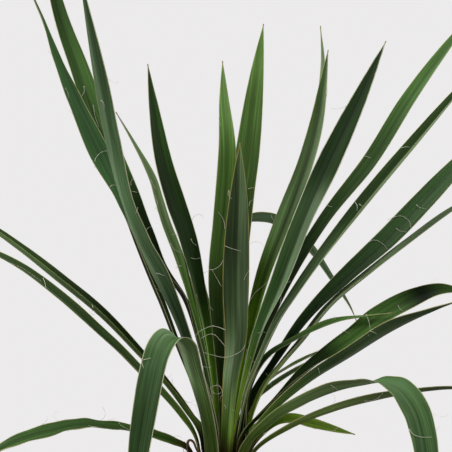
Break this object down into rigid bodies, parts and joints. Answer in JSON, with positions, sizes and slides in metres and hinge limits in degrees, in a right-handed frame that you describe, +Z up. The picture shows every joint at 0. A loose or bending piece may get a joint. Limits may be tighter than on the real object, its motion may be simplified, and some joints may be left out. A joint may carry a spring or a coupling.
{
  "type": "potted adams needle",
  "caption": "Rosette of long, pointed, folded sword leaves on a short stem, upright in the middle and arching outside, growing in soil in a round clay pot that stands on its flat foot.",
  "frame": {"origin": "centre of the pot's flat foot, on the surface that it stands on", "axes": "+Z up along the pot's axis to the tips of the leaves, +Y to the back of the plant, +X to its right as seen from the front"},
  "size_m": [0.6372, 0.5707, 0.75],
  "materials": {
    "clay": "dry unglazed clay, matt, with faint throwing lines",
    "soil": "dark crumbly potting soil, rough",
    "stem": "short woody stem, rough and brown",
    "dry_leaf": "dead leaf bases, brown, dry and fibrous",
    "leaf": "firm green blade, satin sheen, fine lengthwise lines, pale yellowish margin with white threads"
  },
  "bodies": {
    "root": {"pot": "clay", "soil": "soil", "stem": "stem", "dry_bases": "dry_leaf", "leaf_01": "leaf", "leaf_02": "leaf", "leaf_03": "leaf", "leaf_04": "leaf", "leaf_05": "leaf", "leaf_06": "leaf", "leaf_07": "leaf", "leaf_08": "leaf", "leaf_09": "leaf", "leaf_10": "leaf", "leaf_11": "leaf", "leaf_12": "leaf", "leaf_13": "leaf", "leaf_14": "leaf", "leaf_15": "leaf", "leaf_16": "leaf", "leaf_17": "leaf", "leaf_18": "leaf", "leaf_19": "leaf", "leaf_20": "leaf", "leaf_21": "leaf", "leaf_22": "leaf", "leaf_23": "leaf", "leaf_24": "leaf", "leaf_25": "leaf", "leaf_26": "leaf", "leaf_27": "leaf", "leaf_28": "leaf", "leaf_29": "leaf", "leaf_30": "leaf", "leaf_31": "leaf", "leaf_32": "leaf", "leaf_33": "leaf", "leaf_34": "leaf", "leaf_35": "leaf", "leaf_36": "leaf", "leaf_37": "leaf", "leaf_38": "leaf", "leaf_39": "leaf", "leaf_40": "leaf", "leaf_41": "leaf", "leaf_42": "leaf"}
  },
  "joints": []
}
